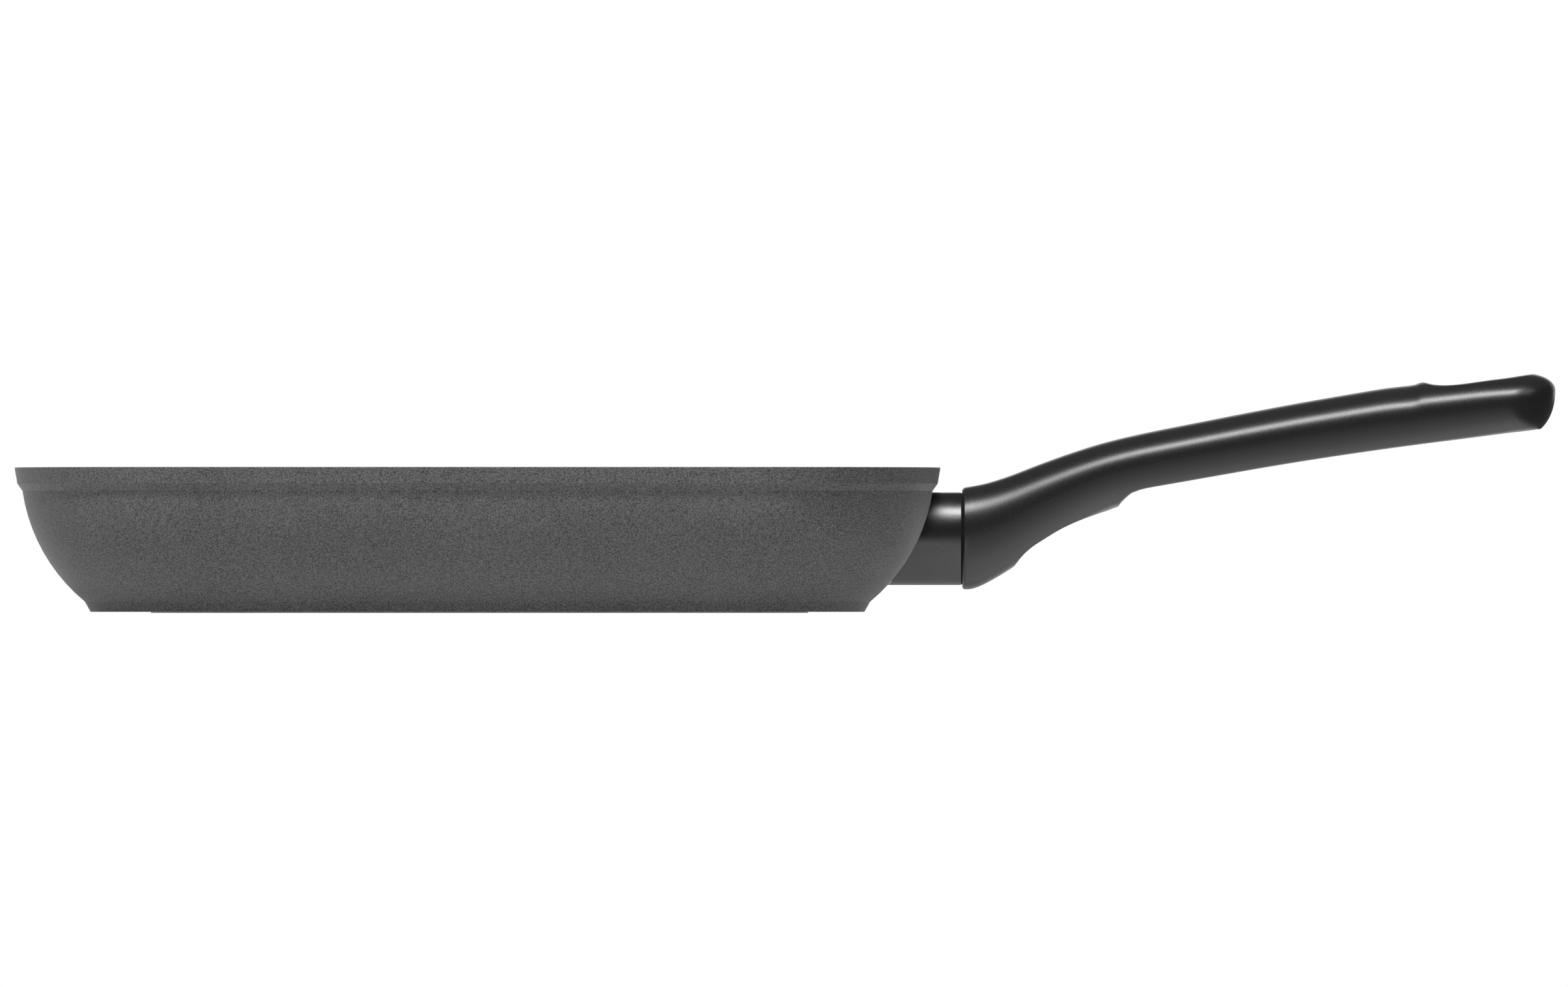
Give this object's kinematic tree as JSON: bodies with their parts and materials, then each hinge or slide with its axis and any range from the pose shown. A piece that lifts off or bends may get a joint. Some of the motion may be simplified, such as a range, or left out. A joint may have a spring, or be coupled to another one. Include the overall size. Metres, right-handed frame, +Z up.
{
  "type": "grill pan",
  "caption": "Square cast grill pan with rounded corners, ribbed floor, steel base disc and a fixed moulded handle with a hanging slot.",
  "frame": {"origin": "centre of the base disc's underside, on the hob", "axes": "+Z up, +X along the handle, from the pan to its tail, and +Y across the pan, away from the camera of the picture"},
  "size_m": [0.4674, 0.28, 0.0727],
  "materials": {
    "cast_coating": "dark grey speckled non-stick coat on cast aluminium, fine grain, satin",
    "base_steel": "turned ferritic steel",
    "sleeve_metal": "dark polished metal",
    "seal_rubber": "matt black",
    "handle_resin": "satin black moulded resin with a very fine grain",
    "fastener_steel": "plain steel"
  },
  "bodies": {
    "root": {"pan_body": "cast_coating", "induction_disc": "base_steel", "flame_guard": "sleeve_metal", "handle_seal": "seal_rubber", "handle": "handle_resin", "threaded_insert": "fastener_steel", "handle_screw": "fastener_steel", "spring_washer": "fastener_steel", "flat_washer": "fastener_steel"}
  },
  "joints": []
}
